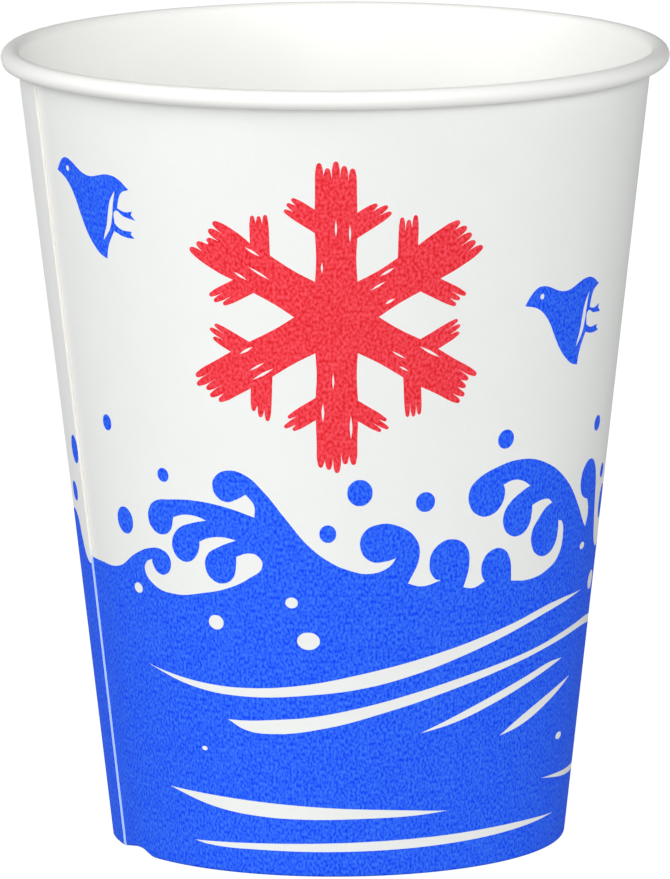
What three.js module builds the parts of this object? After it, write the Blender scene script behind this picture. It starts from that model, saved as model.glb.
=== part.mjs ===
// A paper cup for shaved ice. The sidewall is one sheet of board wrapped into a cone and lapped at a glued
// side seam. It is rolled outwards at the rim, and folded in and up at the foot to hold the skirt of a
// recessed base. Millimetres, +Z up. The origin is the middle of the foot on the table, and -Y is the front.
import * as THREE from "three";

// Driving sizes
const HEIGHT = 108; // table to the top of the rolled rim
const RIM_RADIUS = 45; // outside of the rolled rim
const NECK_RADIUS = 42.5; // outside of the sidewall, level with the underside of the roll
const FOOT_RADIUS = 30.72; // outside of the sidewall on the table
const ROLL_DIAMETER = 2.57; // rolled rim, over its outside
const BOARD = 0.35; // thickness of the paper board
const FLOOR_HEIGHT = 9.3; // table to the top of the base
const HEM_HEIGHT = 8; // table to the top edge of the folded hem
const SKIRT_BOTTOM = 2.3; // table to the lower edge of the base's skirt
const FIT_GAP = 0.15; // clear space on each side of the skirt

// Side seam: the outer flap's cut edge faces the front, and the inner flap ends behind it
const SEAM_ANGLE = -70.4; // degrees from the front, positive towards +X
const LAP_ANGLE = 12.5; // overlap of the two flaps, 8 mm half-way up
const RELAX_ANGLE = 7; // the sheet settles back onto the cone over this angle behind the lap
const EDGE_ANGLE = 0.15; // a cut edge is a face this wide
const INNER_EDGE = SEAM_ANGLE - LAP_ANGLE;
const RELAX_END = INNER_EDGE - RELAX_ANGLE;

// Clipped corner of the sheet, which lifts the foot just past the seam: angle past the seam, lift
const CLIP = [
  [EDGE_ANGLE, 0.25],
  [6.8, 0.9],
  [10.2, 1],
  [11.8, 0.8],
  [13.6, 0.2],
  [15.4, 0],
];

// Resolution
const STEP_ANGLE = 5; // between two stations round the cup
const STATION_CLEARANCE = 1.6; // a regular station this near a special one is left out
const ROLL_POINTS = 18; // along the roll, on each of its two faces

const TAPER = (NECK_RADIUS - FOOT_RADIUS) / (HEIGHT - ROLL_DIAMETER);
const SLOT = BOARD + 2 * FIT_GAP; // between the wall and the hem
const FOLD = 2 * BOARD + SLOT; // over the whole fold at the foot
const CORNER = 0.3; // rounding of the fold
const ROLL_RADIUS = ROLL_DIAMETER / 2;
const ROLL_CENTRE = { r: RIM_RADIUS - ROLL_RADIUS, z: HEIGHT - ROLL_RADIUS };
const ROLL_START = Math.PI; // where the wall runs into the roll
const ROLL_END = THREE.MathUtils.degToRad(-215); // the tip, tucked inside the roll
const ROLL_TUCK = 0.82; // the tip runs down the wall this far from the roll's centre
const SHOULDER = HEIGHT - ROLL_DIAMETER - 0.8; // above it the laps are pressed flat into the roll

const wallRadius = (z) => FOOT_RADIUS + TAPER * z;

// A profile point. print and liner say how far it moves out with the sheet's printed and inner faces at
// the lap, and lift how far it goes up at the clipped corner.
const at = (r, z, { print = 0, liner = 0, lift = 0 } = {}) => ({ r, z, print, liner, lift });

// Radius of the roll's outer face: a round, then a tail that runs flat along the wall and tucks inside.
function rollRadius(angle) {
  const towardsWall = Math.abs(Math.cos(angle));
  const tail = angle < -Math.PI / 2 ? ROLL_TUCK / (angle < -Math.PI ? 1 : towardsWall) : Infinity;
  return (ROLL_RADIUS ** -6 + tail ** -6) ** (-1 / 6);
}

function rollFace(depth) {
  return Array.from({ length: ROLL_POINTS }, (_, i) => {
    const angle = THREE.MathUtils.lerp(ROLL_START, ROLL_END, i / (ROLL_POINTS - 1));
    const radius = rollRadius(angle) - depth;
    return at(ROLL_CENTRE.r + radius * Math.cos(angle), ROLL_CENTRE.z + radius * Math.sin(angle));
  });
}

// The sheet's section, closed on itself: up the printed face, round the roll and back, down the liner,
// and through the slot and over the hem to the foot.
function wallProfile() {
  const foot = { lift: 1 };
  const slotFloor = BOARD + CORNER / 2;
  const printed = [
    at(wallRadius(CORNER), CORNER, { print: 1, lift: 1 }),
    at(wallRadius(SHOULDER), SHOULDER, { print: 1 }),
  ];
  const liner = [
    at(wallRadius(SHOULDER) - BOARD, SHOULDER, { liner: 1 }),
    at(wallRadius(slotFloor) - BOARD, slotFloor, { liner: 1, lift: 1 }),
    at(FOOT_RADIUS - BOARD - CORNER / 2, BOARD, foot),
    at(FOOT_RADIUS - BOARD - SLOT + CORNER / 2, BOARD, foot),
    at(wallRadius(slotFloor) - BOARD - SLOT, slotFloor, { liner: -1, lift: 1 }),
    at(wallRadius(HEM_HEIGHT) - BOARD - SLOT, HEM_HEIGHT, { liner: -1 }),
  ];
  const hem = [
    at(wallRadius(HEM_HEIGHT) - FOLD, HEM_HEIGHT, { print: -1 }),
    at(wallRadius(CORNER) - FOLD, CORNER, { print: -1, lift: 1 }),
    at(FOOT_RADIUS - FOLD + CORNER / 4, CORNER / 4, foot),
    at(FOOT_RADIUS - FOLD + CORNER, 0, foot),
    at(FOOT_RADIUS - CORNER, 0, foot),
    at(FOOT_RADIUS - CORNER / 4, CORNER / 4, foot),
  ];
  return [...printed, ...rollFace(BOARD), ...rollFace(0).reverse(), ...liner, ...hem, printed[0]];
}

// The base: a disc with a turned-down skirt that stands in the slot.
function baseProfile() {
  const outer = (z) => wallRadius(z) - BOARD - FIT_GAP;
  const bend = 1; // outer radius of the turned edge
  const under = FLOOR_HEIGHT - BOARD;
  const turned = Array.from({ length: 4 }, (_, i) => {
    const angle = (Math.PI / 2) * (1 - i / 3);
    const z = FLOOR_HEIGHT - bend + bend * Math.sin(angle);
    return at(outer(FLOOR_HEIGHT - bend) - bend + bend * Math.cos(angle), z);
  });
  return [
    at(0, FLOOR_HEIGHT),
    ...turned,
    at(outer(SKIRT_BOTTOM), SKIRT_BOTTOM),
    at(outer(SKIRT_BOTTOM) - BOARD, SKIRT_BOTTOM),
    at(outer(under - bend / 2) - BOARD, under - bend / 2),
    at(outer(under) - BOARD - bend / 2, under),
    at(0, under),
  ];
}

// How far the printed face stands out at a station: by one board over the lap, easing off behind it.
function printLift(angle) {
  if (angle > SEAM_ANGLE) return 0;
  return BOARD * THREE.MathUtils.smoothstep(angle, RELAX_END, INNER_EDGE);
}

// How far the liner stands out: only behind the inner flap's edge.
function linerLift(angle) {
  return angle > INNER_EDGE - EDGE_ANGLE ? 0 : printLift(angle);
}

function clipLift(angle) {
  const past = angle - SEAM_ANGLE;
  const next = CLIP.findIndex(([place]) => place >= past);
  if (next < 0) return 0;
  if (next === 0) return past < CLIP[0][0] - EDGE_ANGLE / 2 ? 0 : CLIP[0][1];
  const [[fromPlace, fromLift], [toPlace, toLift]] = [CLIP[next - 1], CLIP[next]];
  return THREE.MathUtils.mapLinear(past, fromPlace, toPlace, fromLift, toLift);
}

// Angles of the stations: regular ones, and one at every edge of the seam and the clipped corner.
function stationAngles() {
  const special = [RELAX_END, INNER_EDGE - EDGE_ANGLE, INNER_EDGE, SEAM_ANGLE];
  special.push(...CLIP.map(([place]) => SEAM_ANGLE + place));
  const regular = Array.from({ length: 360 / STEP_ANGLE }, (_, i) => i * STEP_ANGLE - 180);
  const clear = regular.filter((a) => special.every((s) => Math.abs(a - s) > STATION_CLEARANCE));
  const angles = [...clear, ...special].sort((a, b) => a - b);
  return [...angles, angles[0] + 360];
}

// A lathe whose stations are set to the angles above, so that the sheet's laps and clip show in it.
function turn(profile) {
  const angles = stationAngles();
  const outline = profile.map(({ r, z }) => new THREE.Vector2(r, z));
  const geometry = new THREE.LatheGeometry(outline, angles.length - 1);
  geometry.deleteAttribute("normal");
  geometry.deleteAttribute("uv");
  const position = geometry.getAttribute("position");
  angles.forEach((angle, station) => {
    const seen = station === angles.length - 1 ? angles[0] : angle;
    const turned = THREE.MathUtils.degToRad(seen);
    profile.forEach(({ r, z, print, liner, lift }, i) => {
      const rise = lift * clipLift(seen);
      const radius = r + TAPER * rise + print * printLift(seen) + liner * linerLift(seen);
      const index = station * profile.length + i;
      position.setXYZ(index, radius * Math.sin(turned), -radius * Math.cos(turned), z + rise);
    });
  });
  return geometry;
}

const uncoated = new THREE.MeshStandardMaterial({ color: "#f3f5f4", roughness: 0.6, metalness: 0 });
const coated = new THREE.MeshStandardMaterial({ color: "#fafaf8", roughness: 0.4, metalness: 0 });

function piece(name, profile, material) {
  const mesh = new THREE.Mesh(turn(profile), material);
  mesh.name = name;
  return mesh;
}

const cup = new THREE.Group();
cup.name = "shaved_ice_cup";
cup.add(piece("cup_wall", wallProfile(), uncoated));
cup.add(piece("cup_base", baseProfile().reverse(), coated));

export default cup;
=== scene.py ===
"""A printed paper cup for shaved ice, laid out as an add-on and run as a script.

The wall is one sheet of board: its section is drawn as a line, turned round the axis through a full turn and
the lap of the side seam, laid onto the cone and given its thickness. The base is a turned disc. The inks are
thin layers: each is cut from a flat slab by its outlines and then wrapped round the wall's printed face.
"""

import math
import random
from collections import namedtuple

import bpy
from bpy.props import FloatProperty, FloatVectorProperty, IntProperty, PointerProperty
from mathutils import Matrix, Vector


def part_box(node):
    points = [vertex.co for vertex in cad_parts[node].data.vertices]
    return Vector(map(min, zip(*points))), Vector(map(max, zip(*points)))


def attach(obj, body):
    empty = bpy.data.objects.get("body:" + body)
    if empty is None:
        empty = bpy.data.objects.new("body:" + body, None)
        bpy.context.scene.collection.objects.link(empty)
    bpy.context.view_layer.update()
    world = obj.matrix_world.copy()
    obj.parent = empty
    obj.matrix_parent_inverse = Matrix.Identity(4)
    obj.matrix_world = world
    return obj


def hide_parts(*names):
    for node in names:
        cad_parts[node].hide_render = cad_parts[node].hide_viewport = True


bl_info = {
    "name": "Printed Paper Cup",
    "version": (1, 0, 0),
    "blender": (4, 5, 0),
    "location": "3D View > Sidebar > Paper Cup",
    "description": "Adds a paper cup for shaved ice with its seam, rolled rim, recessed base and print",
    "category": "Add Mesh",
}

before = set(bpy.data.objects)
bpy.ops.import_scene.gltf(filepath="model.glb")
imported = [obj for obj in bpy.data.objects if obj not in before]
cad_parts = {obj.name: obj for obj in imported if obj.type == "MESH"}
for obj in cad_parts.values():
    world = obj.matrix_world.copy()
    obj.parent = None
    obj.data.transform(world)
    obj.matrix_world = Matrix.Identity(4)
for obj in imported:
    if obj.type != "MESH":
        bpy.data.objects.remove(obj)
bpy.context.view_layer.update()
WALL_LOW, WALL_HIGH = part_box("cup_wall")
BASE_LOW, BASE_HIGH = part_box("cup_base")

MM = 0.001
FRONT_ARC = 37.0  # the flat print is measured in millimetres round the cup at this radius
SEAM = -70.4  # angle of the side seam from the front, in degrees, positive towards +X
LAP = 12.5  # degrees that the two flaps overlap
STEP = 1.25  # degrees between two stations of the sheet
RELAX = 7.5  # degrees behind the lap over which the outer flap settles back onto the cone

Spot = namedtuple("Spot", "r z out shift pressed")  # a place on the sheet's printed face


# ---------------------------------------------------------------- colours and settings


def linear(code):
    """A colour from its sRGB hex code, turned linear."""
    parts = [int(code[i : i + 2], 16) / 255 for i in (1, 3, 5)]
    return tuple(c / 12.92 if c <= 0.04045 else ((c + 0.055) / 1.055) ** 2.4 for c in parts)


def length(name, description, value):
    return FloatProperty(
        name=name, description=description, default=value, subtype="DISTANCE", unit="LENGTH", precision=5
    )


def colour(name, description, code):
    return FloatVectorProperty(
        name=name, description=description, default=linear(code), size=3, min=0, max=1, subtype="COLOR"
    )


class CupBoard(bpy.types.PropertyGroup):
    """The paper board, and the cup that it is wrapped into."""

    height: length("Height", "Table to the top of the rolled rim", WALL_HIGH.z)
    rim_radius: length("Rim radius", "Axis to the outside of the rolled rim", WALL_HIGH.x)
    neck_radius: length("Neck radius", "Outside of the wall, level with the underside of the roll", 42.5 * MM)
    foot_radius: length("Foot radius", "Outside of the wall on the table", 30.72 * MM)
    roll_diameter: length("Roll diameter", "Rolled rim, over its outside", 2.57 * MM)
    thickness: length("Thickness", "Thickness of the paper board", 0.35 * MM)
    fold: length("Fold", "Over the whole fold at the foot", 1.35 * MM)
    fold_corner: length("Fold corner", "Rounding of the fold on the table", 0.45 * MM)
    hem_height: length("Hem height", "Table to the top edge of the folded hem", 8 * MM)
    floor_height: length("Floor height", "Table to the top of the base", BASE_HIGH.z)
    skirt_bottom: length("Skirt bottom", "Table to the lower edge of the base's skirt", BASE_LOW.z)
    outside: colour("Outside", "Uncoated face of the board", "#f4f6f4")
    # Painted highlight: the strip right of the seam gets a lighter board colour in place of the light that
    # brightens it there.
    painted_seam_highlight: colour("Ironed", "Uncoated face where the seam was pressed", "#fbfbf8")
    inside: colour("Inside", "Coated face of the board", "#fdfdfa")
    edge: colour("Cut edge", "Raw edge of the board", "#fbfaf3")
    tinted_edge: colour("Tinted edge", "Raw edge of the board where blue ink has crept in", "#e6ffff")


class CupPrint(bpy.types.PropertyGroup):
    """The inks of the print."""

    relief: length("Relief", "How far an ink stands out of the board", 0.02 * MM)
    root: length("Root", "How deep an ink's layer reaches into the board", 0.05 * MM)
    overhang: length("Overhang", "How far the blue ink wraps over the cut edge at the seam", 0.02 * MM)
    blue: colour("Blue", "Blue ink where it is thin", "#3d7cff")
    blue_deep: colour("Deep blue", "Blue ink where it has gathered", "#0743fe")
    red: colour("Red", "Red ink where it is thin", "#fc5260")
    red_deep: colour("Deep red", "Red ink where it has gathered", "#e81e28")
    repeat: FloatProperty(
        name="Repeat", description="Width of one repeat of the print, in flat millimetres", default=116.25
    )
    seed: IntProperty(name="Seed", description="Seed of the brush strokes' unevenness", default=7)


class CupStage(bpy.types.PropertyGroup):
    """The floor, the lights and the camera."""

    distance: length("Distance", "Camera to the middle of the cup", 1530.6 * MM)
    aim_height: length("Aim height", "Height that the camera looks at", 54.04 * MM)
    aim_side: length("Aim side", "How far beside the axis the camera looks", -0.26 * MM)
    elevation: FloatProperty(
        name="Elevation", description="Angle that the camera looks down", default=math.radians(9.9),
        subtype="ANGLE",
    )
    tilt: FloatProperty(
        name="Tilt", description="Turn of the picture", default=math.radians(-0.239), subtype="ANGLE"
    )
    lens: FloatProperty(name="Lens", description="Focal length in millimetres", default=462.47)
    floor: colour("Floor", "Pale paper floor", "#ffffff")
    floor_glow: FloatProperty(name="Floor glow", description="How bright the floor looks", default=1.0)
    room: FloatProperty(name="Room", description="Light from the room above the horizon", default=0.21)
    bounce: FloatProperty(name="Bounce", description="Light that comes up from the table", default=0.41)
    high: FloatProperty(name="High", description="Soft box high at the front left, in watts", default=2.0)
    left: FloatProperty(name="Left", description="Soft box on the left, in watts", default=9.2)
    upper_left: FloatProperty(name="Upper left", description="Soft box high left, in watts", default=4.3)
    front: FloatProperty(name="Front", description="Soft box at the front, in watts", default=11.1)
    fill: FloatProperty(name="Fill", description="Soft box at the front right, in watts", default=8.3)
    right: FloatProperty(name="Right", description="Soft box on the right, in watts", default=3.2)


# ---------------------------------------------------------------- the sheet of board


def smoothstep(low, high, x):
    t = min(max((x - low) / (high - low), 0), 1)
    return t * t * (3 - 2 * t)


class Sheet:
    """Where the board's printed face runs, and how the sheet is laid onto the cone at each angle."""

    WALL_ROWS = (6, 9, 10, 16, 28, 39, 42, 52, 64, 76, 88, 96, 101, 104, 105.5)  # heights in millimetres
    ROLL_STEPS = 42  # along the roll
    ROLL_TUCK = 0.82 * MM  # the roll's tip runs down the wall this far from the roll's centre
    ROLL_END = -215  # angle of the roll's tip, in degrees
    ROLL_HOLD = 0.4  # share of the lap's step that still shows where it is pressed into the roll
    GLUE = 0.03 * MM  # clear space between the two flaps of the lap
    LAP_SINK = 0.34 * MM  # how far the wall lies inside the round cone by the lap, where it is flatter
    SINK_REACH = (7, 27)  # degrees beside the lap between which the sink dies away
    SINK_FADE = (40 * MM, 112 * MM)  # heights between which it dies away, as the rim holds the wall round
    LAP_SWELL = 0.115  # share of its radius by which the roll bulges and sags there
    SWELL_REACH = (8, 34)  # degrees beside the lap between which the swell dies away
    CLIP_REACH = 3 * MM  # the clipped corner's lift has died away at this height
    CLIP_TUCK = 0.13 * MM  # lift of the foot at the seam
    CLIP_RISE = 0.7 * MM  # further lift at the clipped corner
    CLIP_RAMP = 7.8  # degrees past the seam over which that lift is reached
    CLIP_FALL = (10.5, 16.3)  # degrees past the seam between which the foot comes down again
    KNURL = 0.12 * MM  # depth of the crimping on the hem
    KNURL_PITCH = 3.75  # degrees between two crimps
    KNURL_START = (2.4 * MM, 3.2 * MM)  # heights between which the crimping sets in
    KNURL_STOP = (1.2 * MM, 0.5 * MM)  # depths below the hem's edge between which it dies away
    SWAY = 0.03 * MM  # how far the rim wanders from a true round, in each of two waves

    def __init__(self, cup):
        self.cup = cup
        self.taper = (cup.neck_radius - cup.foot_radius) / (cup.height - cup.roll_diameter)
        self.lean = math.atan(self.taper)
        self.roll_radius = cup.roll_diameter / 2
        self.roll_centre = Vector((cup.rim_radius - self.roll_radius, cup.height - self.roll_radius))
        bend = cup.fold_corner
        reach = bend / math.cos(self.lean)
        self.outer_bend = Vector((self.radius(bend) - reach, bend))
        self.inner_bend = Vector((self.radius(bend) - cup.fold + reach, bend))
        self.wall_start = bend - bend * math.sin(self.lean)
        self.hem_start = bend + bend * math.sin(self.lean)
        self.outer_arc = bend * (math.pi / 2 - self.lean)
        self.flat = self.outer_bend.x - self.inner_bend.x
        self.inner_arc = bend * (math.pi / 2 + self.lean)

    def radius(self, z):
        return self.cup.foot_radius + self.taper * z

    def spot(self, v):
        """The printed face at v: its height on the wall, and run on downwards as length round the fold."""
        wall_out = Vector((math.cos(self.lean), -math.sin(self.lean)))
        if v >= self.wall_start:
            return Spot(self.radius(v), v, wall_out, Vector((1, 0)), 0)
        run = self.wall_start - v
        if run < self.outer_arc:
            return self.bend_spot(self.outer_bend, -self.lean - run / self.cup.fold_corner)
        run -= self.outer_arc
        if run < self.flat:
            down = Vector((0, -1))
            return Spot(self.outer_bend.x - run, 0, down, Vector((0, 0)), 0)
        run -= self.flat
        if run < self.inner_arc:
            return self.bend_spot(self.inner_bend, -math.pi / 2 - run / self.cup.fold_corner)
        z = self.hem_start + run - self.inner_arc
        stop = [self.cup.hem_height - depth for depth in self.KNURL_STOP]
        pressed = smoothstep(*self.KNURL_START, z) * (1 - smoothstep(*stop, z))
        return Spot(self.radius(z) - self.cup.fold, z, -wall_out, Vector((-1, 0)), pressed)

    def bend_spot(self, centre, angle):
        out = Vector((math.cos(angle), math.sin(angle)))
        place = centre + out * self.cup.fold_corner
        return Spot(place.x, place.y, out, Vector((out.x, 0)), 0)

    def hem_end(self):
        """The v of the hem's top edge."""
        run = self.outer_arc + self.flat + self.inner_arc + self.cup.hem_height - self.hem_start
        return self.wall_start - run

    def roll_spot(self, degrees):
        """The roll: a round, then a tail that runs flat along the wall and tucks inside."""
        angle = math.radians(degrees)
        radius = self.roll_radius
        if degrees < -90:
            tail = self.ROLL_TUCK / (1 if degrees < -180 else abs(math.cos(angle)))
            radius = (self.roll_radius**-6 + tail**-6) ** (-1 / 6)
        away = Vector((math.cos(angle), math.sin(angle)))
        place = self.roll_centre + away * (radius - self.cup.thickness)
        return Spot(place.x, place.y, -away, -away * self.ROLL_HOLD, 0)

    def section(self):
        """The printed face from the hem's edge, round the fold, up the wall and round the roll to its tip."""
        fold_end = self.wall_start - self.outer_arc - self.flat - self.inner_arc
        hem = [self.hem_end() + i * (fold_end - self.hem_end()) / 8 for i in range(8)]
        inner = [fold_end + i * self.inner_arc / 6 for i in range(6)]
        flat = [fold_end + self.inner_arc + i * self.flat / 2 for i in range(2)]
        outer = [self.wall_start - self.outer_arc * (1 - i / 6) for i in range(6)]
        foot = [self.wall_start, 0.9 * MM, 1.5 * MM, 2.2 * MM, 3 * MM]
        wall = [z * MM for z in self.WALL_ROWS]
        spots = [self.spot(v) for v in hem + inner + flat + outer + foot + wall]
        part = (self.ROLL_END - 180) / self.ROLL_STEPS
        return spots + [self.roll_spot(180 + i * part) for i in range(self.ROLL_STEPS + 1)]

    def lap(self, s):
        """How far the sheet stands out at s, as the outer flap climbs over the edge of the inner one."""
        edge = SEAM + 360 - LAP
        return (self.cup.thickness + self.GLUE) * smoothstep(edge - RELAX, edge, s)

    def beside_lap(self, s):
        """Degrees between s and the inner flap's edge."""
        return abs((s - SEAM + LAP + 180) % 360 - 180)

    def sink(self, s, z):
        """How far the wall lies inside the round cone by the lap."""
        around = 1 - smoothstep(*self.SINK_REACH, self.beside_lap(s))
        return self.LAP_SINK * around * (1 - smoothstep(*self.SINK_FADE, z))

    def swell(self, s, spot):
        """How far the roll's outside bulges out and sags by the lap."""
        if spot.z < self.cup.height - self.cup.roll_diameter:
            return Vector((0, 0))
        offset = Vector((spot.r, spot.z)) - self.roll_centre
        out = offset.x / self.roll_radius
        around = self.LAP_SWELL * (1 - smoothstep(*self.SWELL_REACH, self.beside_lap(s)))
        bulge = around * smoothstep(-1, 0.3, out) * offset.x
        sag = around * smoothstep(0, 0.9, out) * (self.roll_radius - offset.y)
        return Vector((bulge, -sag))

    def clip(self, s):
        """Lift of the foot past the seam, at the sheet's clipped corner, and at the outer flap's end."""
        past = s - SEAM
        end = self.CLIP_TUCK * smoothstep(360 - 2 * STEP, 360, past)
        rise = self.CLIP_TUCK + self.CLIP_RISE * min(max(past / self.CLIP_RAMP, 0), 1)
        return end + rise * (1 - smoothstep(*self.CLIP_FALL, past))

    def lay(self, s, spot, depth=0.0):
        """The point where a spot of the section comes to lie at the angle s, in degrees round the sheet."""
        turned = math.radians(s)
        rise = self.clip(s) * max(0, 1 - spot.z / self.CLIP_REACH)
        knurl = self.KNURL * spot.pressed * (0.5 - 0.5 * math.cos(math.tau * s / self.KNURL_PITCH))
        share = spot.z / self.cup.height
        sway = self.SWAY * (math.sin(2 * turned - 1.6) + math.sin(5 * turned + 2.1 + 3 * share))
        place = Vector((spot.r, spot.z)) + spot.out * depth + spot.shift * self.lap(s) + self.swell(s, spot)
        r = place.x + self.taper * rise + knurl + sway * share - self.sink(s, spot.z)
        return Vector((r * math.sin(turned), -r * math.cos(turned), place.y + rise))


# ---------------------------------------------------------------- modelling helpers


def select_only(*objects):
    bpy.ops.object.select_all(action="DESELECT")
    for obj in objects:
        obj.select_set(True)
    bpy.context.view_layer.objects.active = objects[0]


def draw_line(name, points):
    """A chain of edges through the points, extruded from one vertex."""
    bpy.ops.object.select_all(action="DESELECT")
    bpy.ops.mesh.primitive_plane_add(size=MM, location=points[0])
    line = bpy.context.object
    line.name = line.data.name = name
    bpy.ops.object.transform_apply(location=True, rotation=True, scale=True)
    bpy.ops.object.mode_set(mode="EDIT")
    bpy.ops.mesh.merge(type="CENTER")
    bpy.ops.object.mode_set(mode="OBJECT")  # drops the merged vertices, so that the chain keeps its order
    bpy.ops.object.mode_set(mode="EDIT")
    for here, there in zip(points, points[1:]):
        bpy.ops.mesh.extrude_region_move(TRANSFORM_OT_translate={"value": there - here})
    bpy.ops.object.mode_set(mode="OBJECT")
    return line


def apply_modifier(obj, kind, **settings):
    modifier = obj.modifiers.new(kind.title(), kind)
    for key, value in settings.items():
        setattr(modifier, key, value)
    select_only(obj)
    bpy.ops.object.modifier_apply(modifier=modifier.name)


def turn(line, degrees, steps):
    """Turns a line about the cup's axis, anticlockwise seen from above."""
    apply_modifier(
        line, "SCREW", axis="Z", angle=math.radians(degrees), steps=steps, render_steps=steps,
        use_merge_vertices=False,
    )


def cover(obj, *materials):
    obj.data.materials.clear()
    for material in materials:
        obj.data.materials.append(material)


def thicken(surface, thickness, front):
    """Gives an open surface its thickness, away from the side that the function front says is its front.

    Its three materials are those of the front, the back and the cut edge."""
    select_only(surface)
    bpy.ops.object.mode_set(mode="EDIT")
    bpy.ops.mesh.select_all(action="SELECT")
    bpy.ops.mesh.normals_make_consistent(inside=False)
    bpy.ops.object.mode_set(mode="OBJECT")
    if sum(front(face.center).dot(face.normal) * face.area for face in surface.data.polygons) < 0:
        bpy.ops.object.mode_set(mode="EDIT")
        bpy.ops.mesh.select_all(action="SELECT")
        bpy.ops.mesh.flip_normals()
        bpy.ops.object.mode_set(mode="OBJECT")
    apply_modifier(
        surface, "SOLIDIFY", thickness=thickness, offset=-1, use_even_offset=True, use_quality_normals=True,
        material_offset=1, material_offset_rim=2,
    )


def outwards(place):
    return Vector((place.x, place.y, 0)).normalized()


def upwards(place):
    return Vector((0, 0, 1))


def merge_doubles(obj, distance):
    select_only(obj)
    bpy.ops.object.mode_set(mode="EDIT")
    bpy.ops.mesh.select_all(action="SELECT")
    bpy.ops.mesh.remove_doubles(threshold=distance)
    bpy.ops.object.mode_set(mode="OBJECT")


def finish(obj):
    """Shades a piece, with edges where it bends by more than 35 degrees, and lets it ride on the cup."""
    select_only(obj)
    bpy.ops.object.shade_smooth_by_angle(angle=math.radians(35))
    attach(obj, "root")


# ---------------------------------------------------------------- outlines of the flat print
# An outline is a list of nodes (x, y, sharp) in flat millimetres: x round the cup from the front, y up.


def smooth(*points):
    return [(x, y, False) for x, y in points]


def corner(x, y):
    return [(x, y, True)]


def arc(x, y, radius, start, end):
    """Nodes on a circle, from one angle to another in degrees, at most 50 degrees apart."""
    count = max(2, math.ceil(abs(end - start) / 50))
    angles = [math.radians(start + (end - start) * i / count) for i in range(count + 1)]
    return [(x + radius * math.cos(a), y + radius * math.sin(a), False) for a in angles]


def oval(x, y, half_width, half_height):
    around = [math.radians(a) for a in range(0, 360, 45)]
    return [(x + half_width * math.cos(a), y + half_height * math.sin(a), False) for a in around]


def moved(outline, x):
    return [(at + x, y, sharp) for at, y, sharp in outline]


# The wave's upper edge over one repeat, from the seam on: a swell, then curls that each end in a hollow.
WAVE = (
    smooth((-42, 40.25), (-36, 40.5), (-32, 42.7), (-28.5, 43.95))
    + arc(-26.8, 42.2, 1.75, 83, -165) + corner(-28.6, 42.4) + smooth((-29.7, 41.9), (-30.25, 40.8))
    + smooth((-28.7, 38.9), (-24.5, 38), (-20, 38.6), (-16, 39.55), (-12.5, 41.2), (-10.5, 43))
    + smooth((-11.2, 44.35), (-12.6, 44.6)) + corner(-14.3, 44.05)
    + arc(-16.8, 42.6, 2.4, 5, -212) + smooth((-16.7, 45.3)) + corner(-14.2, 46.3)
    + smooth((-16.2, 46.6), (-18.5, 46.3)) + corner(-19.9, 45.7) + smooth((-19.98, 44.9))
    + arc(-22.4, 44.85, 2.15, -35, -190) + smooth((-23.4, 47.07), (-21, 48.14)) + corner(-18.6, 48.7)
    + smooth((-20, 49.15), (-22.2, 49.2)) + corner(-24, 48.67)
    + arc(-26.35, 48.3, 2.25, 0, -215) + smooth((-27, 50.6), (-24.5, 51.05), (-20, 51.3), (-15, 50.65))
    + corner(-11.4, 49.6) + smooth((-11.35, 51.2)) + corner(-12.5, 52.7)
    + arc(-15.2, 53.6, 2.1, -53, -214) + smooth((-15, 55.85), (-12.5, 55.35), (-10, 53.2), (-7, 49.5))
    + smooth((-4, 45.95), (-1, 43.7), (1.5, 42.6), (4.5, 42.05), (7.1, 42.85)) + corner(8.2, 44.1)
    + arc(5.75, 46.15, 2.65, -68, -265) + smooth((8.5, 48.45), (11, 46.5), (11.5, 44.2))
    + corner(9.95, 40.5) + smooth((12, 40)) + corner(14.8, 40.65)
    + arc(16.1, 43.1, 3.1, -137, -372) + corner(18.4, 39.4) + smooth((20, 39.15)) + corner(21.9, 39.9)
    + arc(23.7, 41.7, 2.55, -157, -345) + smooth((26.5, 40.6)) + corner(26.6, 39.45)
    + smooth((30, 39.15), (34, 39.9), (36.7, 41.6), (37.4, 44.3), (36.8, 46.2)) + corner(35.8, 46.55)
    + arc(32.95, 45, 3, 10, -195) + smooth((31.2, 47.4), (32.7, 48.8)) + corner(33.9, 49.25)
    + smooth((33, 49.85), (31.2, 49.9)) + corner(29.6, 49.45)
    + arc(27, 48.15, 2.65, 5, -200) + smooth((25.5, 50.4), (27.2, 51.5)) + corner(28.9, 52.25)
    + smooth((27.5, 53.05), (25.7, 53.4)) + corner(24, 52.95)
    + arc(21.4, 51.8, 2.95, 5, -200) + smooth((19.6, 54), (22.5, 55.4), (27, 56.1), (31.5, 55.1))
    + smooth((37, 51.85), (41.5, 47.4), (43.5, 45.15)) + corner(44.7, 44.2) + smooth((45.25, 46.3))
    + corner(44.3, 48.2)
    + arc(43.95, 50.98, 2.7, -97, -320) + smooth((47.3, 50.6), (48.1, 47.6), (49.1, 44.2), (50.6, 41.3))
    + smooth((53, 40.2), (57.5, 41.3), (60.5, 44.3), (63.5, 45.8), (66.2, 45), (67.4, 42.4), (69.3, 39.7))
)

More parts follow.
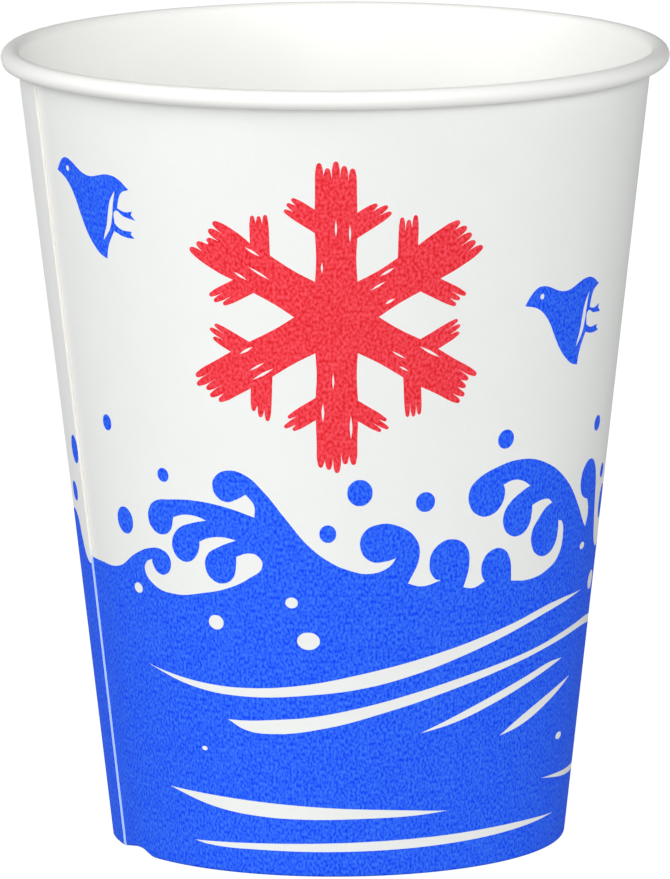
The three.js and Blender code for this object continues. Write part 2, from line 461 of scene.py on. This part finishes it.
# Spray over the wave and bubbles in it: middle x and y, half width, half height.
SPRAY = [
    (-35.55, 60.25, 0.95, 1.1), (-25.2, 54.35, 0.95, 0.95), (-33.6, 47.1, 1.72, 1.85),
    (-1.3, 47.6, 1.15, 1.2), (3.05, 53.2, 1.7, 1.8), (12.1, 51.6, 1.35, 1.35), (23.9, 59.2, 1.3, 1.3),
    (45.15, 58.4, 1.12, 1.05), (50.9, 50.95, 1.1, 1), (53.2, 46.35, 1.75, 2.35), (66.35, 48.6, 1.4, 1.35),
    (69.25, 54.8, 1.5, 1.95),
]
BUBBLES = [
    (-32, 38, 0.9, 0.7), (-18, 34.75, 1.2, 1), (-6.5, 38.05, 0.9, 0.75), (-4.2, 32.8, 1.65, 1.2),
    (-21.4, 17, 0.5, 0.3), (42.7, 15.68, 1.1, 0.5), (44.2, 41.7, 0.9, 0.5), (51.5, 35.8, 2, 1.3),
]

# Streaks of light on the water: left tip, upper edge, right tip, lower edge from right to left.
STREAKS = [
    corner(-31.75, 27.75) + smooth((-28, 27.05), (-20, 26.1), (-14, 25.95), (-6, 26.55), (4, 28.3))
    + smooth((16, 30.8), (28, 33.5), (36, 35.1)) + corner(46, 35.4)
    + smooth((40, 34.7), (34, 33.75), (26, 31.8), (20, 30.15), (12, 27.98), (4, 26.25), (-4, 25.3))
    + smooth((-14, 24.75), (-22.3, 25.4)),
    corner(-17, 21.4)
    + smooth((-14, 21.42), (-10, 21.7), (-4, 22.25), (4, 23.67), (12, 25.4), (20, 27.1), (32, 29.15))
    + smooth((44, 30.83), (52, 30.9)) + corner(64, 28.7)
    + smooth((56, 29.3), (48, 30), (40, 29.5), (32, 28.33), (20, 25.9), (8, 23), (-2, 20.7), (-10, 19.75))
    + smooth((-14.2, 20.1)),
    corner(12.5, 19.6) + smooth((16, 20.85), (24, 23.55), (32, 25.75), (37, 26.75)) + corner(41, 26.8)
    + smooth((34, 25.2), (26, 22.95), (18, 20.65)),
    corner(26.6, 17.95) + smooth((30.3, 19.8), (36, 21.85), (41, 23.1)) + corner(45, 23.8)
    + smooth((37.9, 21.2), (31, 18.85)),
    corner(38, 10.5) + smooth((46, 10.25), (56, 9.7)) + corner(62, 8.4) + smooth((56, 8.9), (46, 9.53)),
    corner(-28.95, 10.95) + smooth((-20, 10.57), (-8, 9.97), (0, 9.57), (8, 9.2)) + corner(17.7, 8.5)
    + smooth((12, 8.2), (4, 8.1), (-4, 7.98), (-12, 8.15), (-20, 8.95)),
    corner(-24.7, 3.95) + smooth((-20, 4.12), (-12, 4.42), (0, 4.75), (16, 5.06), (32, 5.24))
    + corner(43.9, 4.85) + smooth((32, 4.33), (16, 3.8), (0, 3.52), (-12, 3.5), (-22, 3.6)),
]

# A plover on the wing, in real millimetres from the tip of its beak, with the slash between wing and tail.
PLOVER = (
    corner(0, 0) + smooth((1.1, 1.2), (2.3, 1.95), (3.3, 2), (4.4, 1.65), (5.9, 0.85), (7.3, 0.3), (8.9, 0.2))
    + smooth((10.3, 0.5), (12.2, 0.8), (14, 0.5)) + corner(16, -0.9) + smooth((14.6, -1.4), (13.7, -2.9))
    + corner(13.5, -3.6) + smooth((14.7, -4)) + corner(16.2, -3.8) + corner(15.9, -4.3) + corner(16.6, -5)
    + smooth((14.5, -4.6), (13, -4)) + corner(12.6, -5.7) + smooth((13.6, -6.4)) + corner(15.7, -6.6)
    + corner(15.5, -7) + corner(16.1, -7.5) + smooth((14.2, -7.4)) + corner(12.4, -6.8)
    + smooth((11.5, -8), (10.8, -9.2)) + corner(10.3, -10.8)
    + smooth((9, -10.3), (7.8, -9.3), (6.5, -7.7), (5.4, -5.6), (4.3, -3.2), (3.3, -1.8), (2.1, -0.8))
)
PLOVER_SLASH = (
    corner(13.4, -1.2) + smooth((12.2, -2.7), (11.6, -4.2), (11, -6.1), (10.2, -7.7)) + corner(10, -8.3)
    + smooth((11.6, -6.6), (12.3, -4.9), (12.7, -3.3))
)
PLOVER_EYE = oval(3.1, 0.6, 0.38, 0.38)
PLOVERS = [(-41.45, 93.9, 0), (25.5, 77.15, 7.3)]  # the beak's place and the bird's turn in degrees


def placed(outline, x, y, degrees=0):
    """An outline in real millimetres, turned and set down at x, y on the flat print."""
    c, s = math.cos(math.radians(degrees)), math.sin(math.radians(degrees))
    turned = [(a * c - b * s, a * s + b * c, sharp) for a, b, sharp in outline]
    sheet = Sheet(bpy.context.scene.cup_board)
    shrink = [FRONT_ARC * MM / sheet.radius((y + b) * MM) for _, b, _ in turned]
    return [(x + a * k, y + b, sharp) for (a, b, sharp), k in zip(turned, shrink)]


# A snow crystal, in real millimetres from its middle
CRYSTAL_MIDDLE = (0, 77.2)
ARM_REACH, ARM_HALF = 20.6, 2.8  # length and half width of an arm
ARM_WAIST, ARM_PINCH = 8, 0.15  # where an arm is narrowest, and by how much on each side
ARM_FRAY = 3.4  # the length of its dry end
BARB_ROOT, BARB_REACH, BARB_HALF = 12.9, 4.1, 1.35  # where a barb leaves its arm, its length and half width
BARB_LEAN = 58  # degrees between an arm and its barbs


def heading(degrees):
    return Vector((math.cos(math.radians(degrees)), math.sin(math.radians(degrees))))


def fringe(draw, tip, degrees, half, fingers):
    """The dry end of a brush stroke: fingers of ink with gaps between them, from left to right."""
    ahead, left = heading(degrees), heading(degrees + 90)
    pitch = 2 * half / fingers
    slant = draw.uniform(-0.3, 0.3)
    nodes = []
    for i in range(fingers):
        middle = half - pitch * (i + 0.5)
        reach = slant * middle + draw.uniform(-0.1, 1.1)
        for back, aside in ((0.45, 0.36), (0, 0.15), (0, -0.15), (0.45, -0.36)):
            nodes.append((tip + ahead * (reach - back) + left * (middle + aside * pitch), False))
        if i < fingers - 1:
            gap = slant * middle - draw.uniform(0.6, 1.7)
            nodes.append((tip + ahead * gap + left * (middle - pitch / 2), True))
    return nodes


def barb(draw, root, degrees, side):
    """A short stroke that leaves an arm's left (side 1) or right (side -1) edge at root."""
    ahead, left = heading(degrees), heading(degrees + 90)
    half = BARB_HALF + draw.uniform(-0.15, 0.15)
    reach = BARB_REACH + draw.uniform(-0.4, 0.2)
    skew = ahead * (side * half / math.tan(math.radians(BARB_LEAN)))
    ends = fringe(draw, root + ahead * reach, degrees, half, 3)
    return [(root + left * half - skew, True), *ends, (root - left * half + skew, True)]


def crystal(seed):
    """Outlines of a snow crystal of six brush strokes with barbs, and of the bristles' gaps in them."""
    draw = random.Random(seed)
    outline, gaps = [], []
    for arm in range(6):
        degrees = 90 - 60 * arm
        ahead, left = heading(degrees), heading(degrees + 90)
        half = ARM_HALF + draw.uniform(-0.2, 0.3)
        reach = ARM_REACH + draw.uniform(-0.7, 0.5)
        notch = heading(degrees + 30) * (2 * ARM_HALF)
        roots = [BARB_ROOT + draw.uniform(-0.5, 0.5) for _ in range(2)]
        nodes = [(notch, True), (ahead * ARM_WAIST + left * (ARM_HALF - ARM_PINCH), False)]
        nodes += barb(draw, ahead * roots[0] + left * ARM_HALF, degrees + BARB_LEAN, 1)
        nodes += [(ahead * (reach - ARM_FRAY) + left * half, False)]
        nodes += fringe(draw, ahead * reach, degrees, half, 5)
        nodes += [(ahead * (reach - ARM_FRAY) - left * half, False)]
        nodes += barb(draw, ahead * roots[1] - left * ARM_HALF, degrees - BARB_LEAN, -1)
        nodes += [(ahead * ARM_WAIST - left * (ARM_HALF - ARM_PINCH), False)]
        outline += [(*place, sharp) for place, sharp in nodes]
        for aside in (draw.uniform(1.7, 2), draw.uniform(-0.5, 0.9), draw.uniform(-2, -1.7)):
            start = ahead * draw.uniform(5.5, 13.5) + left * aside
            span, fat = draw.uniform(1.4, 3.6), draw.uniform(0.12, 0.2)
            slit = ((0, 0, True), (0.5 * span, fat, False), (span, 0, True), (0.5 * span, -fat, False))
            gaps.append([(*(start + ahead * along + left * wide), sharp) for along, wide, sharp in slit])
    return [outline] + gaps


# ---------------------------------------------------------------- ink layers

SLAB = 1  # thickness of the flat slab that a layer is cut from, in millimetres
STENCIL_REACH = 4  # the stencil's reach above and below the slab's underside, in millimetres
CURVE_STEPS = 5  # between two nodes of an outline


def stencil(name, outlines):
    """A tall flat-sided block with the outlines' shape; an outline inside another is a hole in it."""
    curve = bpy.data.curves.new(name, "CURVE")
    curve.dimensions = "2D"
    curve.fill_mode = "BOTH"
    curve.extrude = STENCIL_REACH
    curve.resolution_u = CURVE_STEPS
    for nodes in outlines:
        spline = curve.splines.new("BEZIER")
        spline.bezier_points.add(len(nodes) - 1)
        spline.use_cyclic_u = True
        for point, (x, y, sharp) in zip(spline.bezier_points, nodes):
            point.co = (x, y, 0)
            point.handle_left_type = point.handle_right_type = "VECTOR" if sharp else "AUTO"
    block = bpy.data.objects.new(name, curve)
    bpy.context.collection.objects.link(block)
    select_only(block)
    bpy.ops.object.convert(target="MESH")
    merge_doubles(block, 0.001)
    return block


def ink_layer(name, ink, outlines, low, high, rows=()):
    """Cuts the outlines out of a flat slab and wraps it round the wall's printed face as a layer of ink.

    low and high are the slab's edges in flat millimetres, and rows the heights at which it is cut to bend."""
    inks = bpy.context.scene.cup_print
    first = math.radians(SEAM) * FRONT_ARC
    width = math.tau * FRONT_ARC + inks.overhang / MM
    bpy.ops.object.select_all(action="DESELECT")
    bpy.ops.mesh.primitive_grid_add(
        x_subdivisions=round(360 / STEP), y_subdivisions=1, size=1,
        location=(first + width / 2, (low + high) / 2, 0),
    )
    layer = bpy.context.object
    layer.name = layer.data.name = name
    layer.scale = (width, high - low, 1)
    bpy.ops.object.transform_apply(location=True, rotation=True, scale=True)
    bpy.ops.object.mode_set(mode="EDIT")
    for row in rows:
        bpy.ops.mesh.select_all(action="SELECT")
        bpy.ops.mesh.bisect(plane_co=(0, row, 0), plane_no=(0, 1, 0))
    bpy.ops.mesh.select_all(action="SELECT")
    bpy.ops.mesh.extrude_region_move(TRANSFORM_OT_translate={"value": (0, 0, SLAB)})
    bpy.ops.mesh.select_all(action="SELECT")
    bpy.ops.mesh.normals_make_consistent(inside=False)
    bpy.ops.object.mode_set(mode="OBJECT")
    block = stencil(name + "_stencil", outlines)
    apply_modifier(layer, "BOOLEAN", operation="INTERSECT", object=block, solver="MANIFOLD")
    bpy.data.objects.remove(block)
    sheet = Sheet(bpy.context.scene.cup_board)
    flat = layer.data.attributes.new("flat_print", "FLOAT_VECTOR", "POINT")
    for vertex, place in zip(layer.data.vertices, flat.data):
        x, y, side = vertex.co
        place.vector = (x * MM, y * MM, 0)
        depth = inks.relief if side > SLAB / 2 else -inks.root
        vertex.co = sheet.lay(math.degrees(x / FRONT_ARC), sheet.spot(y * MM), depth)
    cover(layer, ink)
    finish(layer)


# ---------------------------------------------------------------- materials


def socket(sockets, key):
    return next(s for s in sockets if key in (s.identifier, s.name))


def add_node(tree, kind, values=None, links=None, **settings):
    """Adds a node with its options, input values and links; a link is a node or a (node, output) pair."""
    node = tree.nodes.new(kind)
    for key, value in settings.items():
        setattr(node, key, value)
    for key, value in (values or {}).items():
        socket(node.inputs, key).default_value = value
    for key, source in (links or {}).items():
        origin, output = source if isinstance(source, tuple) else (source, None)
        start = socket(origin.outputs, output) if output else origin.outputs[0]
        tree.links.new(start, socket(node.inputs, key))
    return node


def new_material(name):
    """A material with the object's own coordinates and nothing else."""
    material = bpy.data.materials.new(name)
    material.use_nodes = True
    tree = material.node_tree
    tree.nodes.clear()
    place = add_node(tree, "ShaderNodeTexCoord")
    return material, tree, (place, "Object")


def dress(tree, colour_from, bump_from, bump_height, **values):
    """The shader of a surface, its colour and its fine relief, with bump_height in metres."""
    bump = add_node(
        tree, "ShaderNodeBump", values={"Strength": 1.0, "Distance": bump_height}, links={"Height": bump_from}
    )
    shader = add_node(
        tree, "ShaderNodeBsdfPrincipled", values=values, links={"Base Color": colour_from, "Normal": bump}
    )
    add_node(tree, "ShaderNodeOutputMaterial", links={"Surface": shader})


def paper_board(name, shade, depth, grain, roughness, relief, marked=None):
    """Bleached paper board: white pulp with faint clouds where the fibres lie thicker, and a fine grain.

    depth is how much darker the clouds are, grain the size of the fibres' tufts in metres. The colour given
    last is the board's colour where the pieces' attribute named after it is 1: on the uncoated face a painted
    highlight in a strip beside the seam, on the cut edge the tint of ink that has crept in."""
    made = bpy.data.materials.get(name)
    if made:
        return made
    material, tree, place = new_material(name)
    clouds = add_node(tree, "ShaderNodeTexNoise", {"Scale": 1 / (6 * MM), "Detail": 3.0}, {"Vector": place})
    tufts = add_node(
        tree, "ShaderNodeTexNoise", {"Scale": 1 / grain, "Detail": 2.0, "Roughness": 0.6}, {"Vector": place}
    )
    both = add_node(
        tree, "ShaderNodeMath", links={"Value": clouds, "Value_001": tufts}, operation="ADD", use_clamp=False
    )
    spread = add_node(
        tree, "ShaderNodeMapRange", {"From Min": 0.6, "From Max": 1.4}, {"Value": both}, clamp=True
    )
    darker = tuple(c * (1 - depth) for c in shade)
    colour_mix = add_node(
        tree, "ShaderNodeMix", {"A_Color": (*darker, 1), "B_Color": (*shade, 1)}, {"Factor_Float": spread},
        data_type="RGBA",
    )
    # Where the attribute is 1, the uncoated face gets a painted highlight beside the seam and the cut edge
    # gets its ink tint.
    if marked:
        mark = add_node(tree, "ShaderNodeAttribute", attribute_name="marked")
        colour_mix = add_node(
            tree, "ShaderNodeMix", {"B_Color": (*marked, 1)},
            {"A_Color": (colour_mix, "Result_Color"), "Factor_Float": (mark, "Fac")}, data_type="RGBA",
        )
    sheen = {"Roughness": roughness, "Specular IOR Level": 0.4}
    dress(tree, (colour_mix, "Result_Color"), tufts, relief, **sheen)
    return material


def outside_board(cup):
    """Uncoated bleached board, machine-finished: matt, with the tufts of its fibres just to be seen, and a
    painted highlight in a strip beside the seam.
    """
    return paper_board(
        "bleached_board_uncoated", tuple(cup.outside), 0.03, 0.35 * MM, 0.75, 0.012 * MM, tuple(cup.painted_seam_highlight)
    )


def inside_board(cup):
    """Board with an extruded polyethylene film: smoother, with a soft sheen and a slight orange peel."""
    return paper_board("bleached_board_pe_coated", tuple(cup.inside), 0.02, 0.9 * MM, 0.4, 0.01 * MM)


def cut_board(cup):
    """Board cut by a die: open fibres, bright and quite matt, tinted where ink has crept in."""
    return paper_board(
        "bleached_board_cut_edge", tuple(cup.edge), 0.03, 0.12 * MM, 0.9, 0.02 * MM, tuple(cup.tinted_edge)
    )


def flexo_ink(name, thin, deep):
    """Water-based flexo ink on uncoated board: matt, with fine upright specks where it has sunk in deeper."""
    made = bpy.data.materials.get(name)
    if made:
        return made
    material, tree, place = new_material(name)
    flat = add_node(tree, "ShaderNodeAttribute", attribute_name="flat_print")
    laid = add_node(
        tree, "ShaderNodeVectorMath", {"Vector_001": (1 / (0.36 * MM), 1 / (0.48 * MM), 0)},
        {"Vector": (flat, "Vector")}, operation="MULTIPLY",
    )
    specks = add_node(
        tree, "ShaderNodeTexNoise", {"Scale": 1.0, "Detail": 0.6, "Roughness": 0.6}, {"Vector": laid},
        noise_dimensions="2D",
    )
    clouds = add_node(tree, "ShaderNodeTexNoise", {"Scale": 1 / (2.5 * MM), "Detail": 2.0}, {"Vector": place})
    both = add_node(
        tree, "ShaderNodeMath", {"Value_001": 0.2}, {"Value": clouds, "Value_002": specks},
        operation="MULTIPLY_ADD",
    )
    web = add_node(tree, "ShaderNodeMapRange", {"From Min": 0.33, "From Max": 0.87}, {"Value": both})
    inked = add_node(
        tree, "ShaderNodeMix", {"A_Color": (*deep, 1), "B_Color": (*thin, 1)}, {"Factor_Float": web},
        data_type="RGBA",
    )
    dress(tree, (inked, "Result_Color"), web, 0.006 * MM, **{"Roughness": 0.7, "Specular IOR Level": 0.1})
    return material


def blue_ink(inks):
    return flexo_ink("flexo_ink_blue", tuple(inks.blue), tuple(inks.blue_deep))


def red_ink(inks):
    return flexo_ink("flexo_ink_red", tuple(inks.red), tuple(inks.red_deep))


# ---------------------------------------------------------------- operators


class CUP_OT_wall(bpy.types.Operator):
    """Add the sidewall: one sheet with its rolled rim, lapped seam, clipped corner and folded hem"""

    bl_idname = "cup.wall"
    bl_label = "Wall"

    PAINTED_HIGHLIGHT_FADE = 5  # degrees beside the seam over which the painted highlight fades
    SEA_LEVEL = 40 * MM  # below it the ink tints the cut edge at the seam

    def execute(self, context):
        cup = context.scene.cup_board
        sheet = Sheet(cup)
        section = sheet.section()
        start = SEAM - LAP
        steps = round((360 + LAP) / STEP)
        flat_section = [spot._replace(shift=Vector((0, 0)), pressed=0) for spot in section]
        wall = draw_line("cup_sidewall", [sheet.lay(start, spot) for spot in flat_section])
        turn(wall, 360 + LAP, steps)
        if len(wall.data.vertices) != len(section) * (steps + 1):
            raise RuntimeError("the turned section has lost vertices")
        marked = wall.data.attributes.new("marked", "FLOAT", "POINT")
        for i, vertex in enumerate(wall.data.vertices):
            station, place = divmod(i, len(section))
            s = start + station * STEP
            vertex.co = sheet.lay(s, section[place])
            if station == steps:
                marked.data[i].value = 1 if section[place].z < self.SEA_LEVEL else 0
            # Painted highlight: the stations just right of the seam get the lighter board colour, fading out
            # over a few degrees.
            elif s > SEAM - STEP and section[place].z < sheet.roll_centre.y - sheet.roll_radius:
                marked.data[i].value = 1 - smoothstep(0, self.PAINTED_HIGHLIGHT_FADE, s - SEAM)
        cover(wall, outside_board(cup), inside_board(cup), cut_board(cup))
        thicken(wall, cup.thickness, outwards)
        finish(wall)
        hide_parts("cup_wall")
        return {"FINISHED"}


class CUP_OT_base(bpy.types.Operator):
    """Add the recessed base with its turned-down skirt"""

    bl_idname = "cup.base"
    bl_label = "Base"

    DISH = 0.25 * MM  # how far the middle hangs below the edge
    BEND = 1 * MM  # outer radius of the turned edge
    GAP = 0.15 * MM  # clear space between skirt and wall
    PLEATS = 36  # round the skirt
    PLEAT_DEPTH = 0.03 * MM

    def execute(self, context):
        cup = context.scene.cup_board
        sheet = Sheet(cup)
        top = cup.floor_height
        edge = sheet.radius(top - self.BEND) - cup.thickness - self.GAP
        flat = edge - self.BEND
        profile = [(0, top - self.DISH)]
        for share in (0.2, 0.4, 0.6, 0.75, 0.88, 0.94, 1):
            profile.append((flat * share, top - self.DISH * (1 - smoothstep(0.5, 1, share))))
        for i in range(1, 7):
            angle = math.radians(90 - 15 * i)
            profile.append((flat + self.BEND * math.cos(angle), top - self.BEND * (1 - math.sin(angle))))
        for z in (6.6 * MM, 5 * MM, 3.6 * MM, cup.skirt_bottom):
            profile.append((sheet.radius(z) - cup.thickness - self.GAP, z))
        base = draw_line("cup_floor", [Vector((r, 0, z)) for r, z in profile])
        turn(base, 360, 144)
        for vertex in base.data.vertices:
            r = math.hypot(vertex.co.x, vertex.co.y)
            angle = math.atan2(vertex.co.x, -vertex.co.y)
            pleat = self.PLEAT_DEPTH * math.sin(self.PLEATS * angle)
            shift = pleat - sheet.sink(math.degrees(angle), vertex.co.z)
            vertex.co += outwards(vertex.co) * shift * smoothstep(0.8 * flat, edge, r)
        merge_doubles(base, 0.002 * MM)
        cover(base, inside_board(cup), outside_board(cup), cut_board(cup))
        thicken(base, cup.thickness, upwards)
        finish(base)
        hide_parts("cup_base")
        return {"FINISHED"}


class CUP_OT_waves(bpy.types.Operator):
    """Print the sea in blue: the waves with their streaks and bubbles, and the spray over them"""

    bl_idname = "cup.waves"
    bl_label = "Waves"

    UP_THE_HEM = 1.8 * MM  # how far the print runs up the inside of the hem
    LEVELS = (40.2, 39.3)  # of the water at the print's left and right edges, in flat millimetres
    MARGIN = 2  # how far the outline reaches past the slab's edges, in flat millimetres

    def execute(self, context):
        sheet = Sheet(context.scene.cup_board)
        inks = context.scene.cup_print
        left = math.radians(SEAM) * FRONT_ARC - self.MARGIN
        right = math.radians(SEAM) * FRONT_ARC + math.tau * FRONT_ARC + self.MARGIN
        fold_end = sheet.wall_start - sheet.outer_arc - sheet.flat - sheet.inner_arc
        bottom = (fold_end - self.UP_THE_HEM) / MM
        sea = corner(left, self.LEVELS[0]) + WAVE + moved(WAVE, inks.repeat) + corner(right, self.LEVELS[1])
        sea += corner(right, bottom - self.MARGIN) + corner(left, bottom - self.MARGIN)
        details = [oval(*drop) for drop in BUBBLES + SPRAY] + STREAKS
        outlines = [sea] + details + [moved(outline, inks.repeat) for outline in details]
        outer = [sheet.wall_start - sheet.outer_arc * i / 5 for i in range(6)]
        inner = [outer[-1] - sheet.flat - sheet.inner_arc * i / 5 for i in range(6)]
        rows = [v / MM for v in outer + inner] + [3, 0.9, 1.5, 2.2]
        ink_layer("printed_waves", blue_ink(inks), outlines, bottom, 62, rows)
        return {"FINISHED"}


class CUP_OT_plovers(bpy.types.Operator):
    """Print the plovers in blue"""

    bl_idname = "cup.plovers"
    bl_label = "Plovers"

    def execute(self, context):
        inks = context.scene.cup_print
        outlines = []
        for x, y, degrees in PLOVERS:
            outlines += [placed(part, x, y, degrees) for part in (PLOVER, PLOVER_SLASH, PLOVER_EYE)]
        outlines += [moved(outline, inks.repeat) for outline in outlines]
        ink_layer("printed_plovers", blue_ink(inks), outlines, 60, 100)
        return {"FINISHED"}


class CUP_OT_crystals(bpy.types.Operator):
    """Print a snow crystal of brush strokes in red, on the front and on the back"""

    bl_idname = "cup.crystals"
    bl_label = "Snow crystals"

    def execute(self, context):
        inks = context.scene.cup_print
        outlines = [placed(part, *CRYSTAL_MIDDLE) for part in crystal(inks.seed)]
        outlines += [moved(outline, inks.repeat) for outline in outlines]
        ink_layer("printed_crystals", red_ink(inks), outlines, 52, 102)
        return {"FINISHED"}


# Soft boxes: name, place and edge length, in metres
SOFT_BOXES = (
    ("high", (-0.55, -1.25, 1.15), 1.1),
    ("left", (-1.45, -0.45, 0.7), 0.8),
    ("upper_left", (-1.1, -0.4, 1.25), 0.8),
    ("front", (0, -1.7, 0.45), 0.7),
    ("fill", (0.9, -1.4, 0.8), 0.8),
    ("right", (1.5, -0.35, 0.6), 0.8),
)


class CUP_OT_stage(bpy.types.Operator):
    """Add the pale floor, the soft lights and the camera"""

    bl_idname = "cup.stage"
    bl_label = "Stage"

    def execute(self, context):
        stage = context.scene.cup_stage
        self.add_floor(stage)
        self.add_world(context.scene, stage)
        aim = Vector((stage.aim_side, 0, stage.aim_height))
        for name, place, size in SOFT_BOXES:
            self.add_softbox(name + "_softbox", aim, Vector(place), size, getattr(stage, name))
        self.add_camera(context.scene, stage, aim)
        context.scene.view_settings.view_transform = "Standard"
        return {"FINISHED"}

    def add_floor(self, stage):
        bpy.ops.object.select_all(action="DESELECT")
        bpy.ops.mesh.primitive_circle_add(vertices=128, radius=4, fill_type="NGON", location=(0, 0, 0))
        floor = bpy.context.object
        floor.name = "paper_floor"
        material, tree, place = new_material("matt_paper_sweep")
        pulp = add_node(tree, "ShaderNodeTexNoise", {"Scale": 400.0}, {"Vector": place})
        tone = add_node(
            tree, "ShaderNodeMix", {"A_Color": (0.07, 0.07, 0.07, 1), "B_Color": (0.08, 0.08, 0.08, 1)},
            {"Factor_Float": pulp}, data_type="RGBA",
        )
        glow = {"Emission Color": (*stage.floor, 1), "Emission Strength": stage.floor_glow, "Roughness": 0.9}
        dress(tree, (tone, "Result_Color"), pulp, 0.01 * MM, **glow)
        cover(floor, material)
        # The camera sees the floor, and the world lights the cup from below in its place.
        floor.visible_diffuse = floor.visible_glossy = floor.visible_shadow = False

    def add_world(self, scene, stage):
        world = bpy.data.worlds.new("soft_room")
        world.use_nodes = True
        tree = world.node_tree
        tree.nodes.clear()
        way = add_node(tree, "ShaderNodeTexCoord")
        parts = add_node(tree, "ShaderNodeSeparateXYZ", links={"Vector": (way, "Generated")})
        strength = add_node(
            tree, "ShaderNodeMapRange",
            {"From Min": -0.1, "From Max": 0.1, "To Min": stage.bounce, "To Max": stage.room},
            {"Value": (parts, "Z")},
        )
        light = add_node(tree, "ShaderNodeBackground", {"Color": (1, 1, 1, 1)}, {"Strength": strength})
        add_node(tree, "ShaderNodeOutputWorld", links={"Surface": light})
        scene.world = world

    def add_softbox(self, name, aim, place, size, power):
        data = bpy.data.lights.new(name, "AREA")
        data.shape = "SQUARE"
        data.size = size
        data.energy = power
        box = bpy.data.objects.new(name, data)
        bpy.context.collection.objects.link(box)
        box.location = place
        box.rotation_euler = (aim - place).to_track_quat("-Z", "Y").to_euler()
        box.visible_camera = False

    def add_camera(self, scene, stage, aim):
        data = bpy.data.cameras.new("front_camera")
        data.sensor_fit = "VERTICAL"
        data.sensor_height = 36
        data.lens = stage.lens
        data.clip_start = 0.05
        camera = bpy.data.objects.new("front_camera", data)
        bpy.context.collection.objects.link(camera)
        away = Vector((0, -math.cos(stage.elevation), math.sin(stage.elevation)))
        look = Matrix.Rotation(math.pi / 2 - stage.elevation, 4, "X") @ Matrix.Rotation(stage.tilt, 4, "Z")
        camera.matrix_world = Matrix.Translation(aim + away * stage.distance) @ look
        scene.camera = camera


class CUP_PT_panel(bpy.types.Panel):
    """Lists the cup's settings and the steps that build it"""

    bl_idname = "CUP_PT_panel"
    bl_label = "Paper Cup"
    bl_space_type = "VIEW_3D"
    bl_region_type = "UI"
    bl_category = "Paper Cup"

    def draw(self, context):
        for step in STEPS:
            self.layout.operator(step.bl_idname)
        for group in (context.scene.cup_board, context.scene.cup_print, context.scene.cup_stage):
            box = self.layout.box()
            for key in group.__annotations__:
                box.prop(group, key)


GROUPS = {"cup_board": CupBoard, "cup_print": CupPrint, "cup_stage": CupStage}
STEPS = (CUP_OT_wall, CUP_OT_base, CUP_OT_waves, CUP_OT_plovers, CUP_OT_crystals, CUP_OT_stage)


def register():
    for kind in (*GROUPS.values(), *STEPS, CUP_PT_panel):
        bpy.utils.register_class(kind)
    for name, group in GROUPS.items():
        setattr(bpy.types.Scene, name, PointerProperty(type=group))


def unregister():
    for name in GROUPS:
        delattr(bpy.types.Scene, name)
    for kind in (CUP_PT_panel, *reversed(STEPS), *reversed(list(GROUPS.values()))):
        bpy.utils.unregister_class(kind)


def main():
    register()
    bpy.ops.cup.wall()
    bpy.ops.cup.base()
    bpy.ops.cup.waves()
    bpy.ops.cup.plovers()
    bpy.ops.cup.crystals()
    bpy.ops.cup.stage()


if __name__ == "__main__":
    main()
